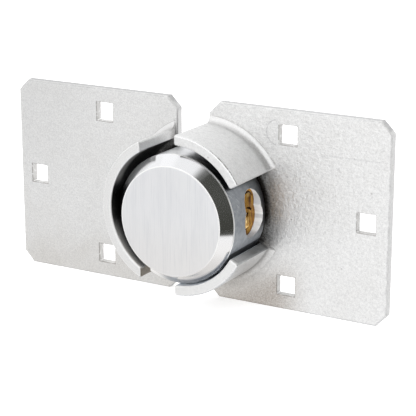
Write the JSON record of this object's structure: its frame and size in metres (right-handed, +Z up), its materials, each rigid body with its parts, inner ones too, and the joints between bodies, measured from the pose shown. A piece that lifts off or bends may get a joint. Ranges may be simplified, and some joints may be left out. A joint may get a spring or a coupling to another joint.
{
  "type": "van door lock",
  "caption": "Forged hasp halves with square bolt holes and shroud walls, pinned together by a round hidden-shackle lock keyed from the side.",
  "frame": {"origin": "on the axis of the locking pin, in the plane of the doors' faces, at mid height of the halves", "axes": "+X to the right along the two halves, +Y back into the doors, +Z up"},
  "size_m": [0.2408, 0.0476, 0.114],
  "materials": {
    "right_half": "matt zinc plate over a forged, slightly pitted surface",
    "left_half": "matt zinc plate over a forged, finely grained surface",
    "lock_steel": "brushed face, polished bevel and satin side",
    "cover_steel": "ground steel",
    "screw_steel": "blackened steel",
    "brass": "turned brass",
    "plug_brass": "turned brass",
    "hard_steel": "hardened and ground steel",
    "pin_steel": "hardened, plated steel",
    "spring_steel": "spring wire"
  },
  "bodies": {
    "right_half": {"right_plate": "right_half"},
    "left_half": {"left_plate": "left_half"},
    "lock": {"lock_body": "lock_steel", "rear_cover": "cover_steel", "cover_screws": "screw_steel", "cylinder_shell": "brass", "chamber_cover": "brass", "cylinder_screw": "screw_steel", "slide_guide": "cover_steel", "bore_plug": "lock_steel", "pin_spring_1": "spring_steel", "pin_spring_2": "spring_steel", "pin_spring_3": "spring_steel", "pin_spring_4": "spring_steel", "pin_spring_5": "spring_steel"},
    "plug": {"cylinder_plug": "plug_brass", "plug_clip": "spring_steel", "drive_pinion": "hard_steel"},
    "pin": {"locking_pin": "pin_steel", "pin_slide": "hard_steel", "slide_dowel": "hard_steel"},
    "key_pin_1": {"key_pin_1": "brass"},
    "driver_pin_1": {"driver_pin_1": "brass"},
    "key_pin_2": {"key_pin_2": "brass"},
    "driver_pin_2": {"driver_pin_2": "brass"},
    "key_pin_3": {"key_pin_3": "brass"},
    "driver_pin_3": {"driver_pin_3": "brass"},
    "key_pin_4": {"key_pin_4": "brass"},
    "driver_pin_4": {"driver_pin_4": "brass"},
    "key_pin_5": {"key_pin_5": "brass"},
    "driver_pin_5": {"driver_pin_5": "brass"}
  },
  "joints": [
    {"name": "left_half_swing", "type": "hinge", "parent": "right_half", "child": "left_half", "pos_m": [0, -0.0267, 0], "axis": [0, 0, -1], "range_deg": [0, 6]},
    {"name": "lock_pull_off", "type": "slide", "parent": "right_half", "child": "lock", "axis": [0, -1, 0], "range_m": [0, 0.045]},
    {"name": "key_turn", "type": "hinge", "parent": "lock", "child": "plug", "pos_m": [0.03, -0.0188, -0.0027], "axis": [-1, 0, 0], "range_deg": [0, 180]},
    {"name": "pin_travel", "type": "slide", "parent": "lock", "child": "pin", "axis": [0, 0, 1], "range_m": [0, 0.0158]},
    {"name": "key_pin_1_drop", "type": "slide", "parent": "plug", "child": "key_pin_1", "axis": [0, 0, -1], "range_m": [0, 0.0015]},
    {"name": "driver_pin_1_lift", "type": "slide", "parent": "lock", "child": "driver_pin_1", "axis": [0, 0, 1], "range_m": [0, 0.0015], "stiffness_N_per_m": 50, "springref_m": -0.002, "deforming": ["pin_spring_1"]},
    {"name": "key_pin_2_drop", "type": "slide", "parent": "plug", "child": "key_pin_2", "axis": [0, 0, -1], "range_m": [0, 0.0015]},
    {"name": "driver_pin_2_lift", "type": "slide", "parent": "lock", "child": "driver_pin_2", "axis": [0, 0, 1], "range_m": [0, 0.0015], "stiffness_N_per_m": 50, "springref_m": -0.002, "deforming": ["pin_spring_2"]},
    {"name": "key_pin_3_drop", "type": "slide", "parent": "plug", "child": "key_pin_3", "axis": [0, 0, -1], "range_m": [0, 0.0015]},
    {"name": "driver_pin_3_lift", "type": "slide", "parent": "lock", "child": "driver_pin_3", "axis": [0, 0, 1], "range_m": [0, 0.0015], "stiffness_N_per_m": 50, "springref_m": -0.002, "deforming": ["pin_spring_3"]},
    {"name": "key_pin_4_drop", "type": "slide", "parent": "plug", "child": "key_pin_4", "axis": [0, 0, -1], "range_m": [0, 0.0015]},
    {"name": "driver_pin_4_lift", "type": "slide", "parent": "lock", "child": "driver_pin_4", "axis": [0, 0, 1], "range_m": [0, 0.0015], "stiffness_N_per_m": 50, "springref_m": -0.002, "deforming": ["pin_spring_4"]},
    {"name": "key_pin_5_drop", "type": "slide", "parent": "plug", "child": "key_pin_5", "axis": [0, 0, -1], "range_m": [0, 0.0015]},
    {"name": "driver_pin_5_lift", "type": "slide", "parent": "lock", "child": "driver_pin_5", "axis": [0, 0, 1], "range_m": [0, 0.0015], "stiffness_N_per_m": 50, "springref_m": -0.002, "deforming": ["pin_spring_5"]}
  ],
  "couplings": [
    {"joint": "key_turn", "follows": "pin_travel", "rad_per_m": 198.83}
  ]
}
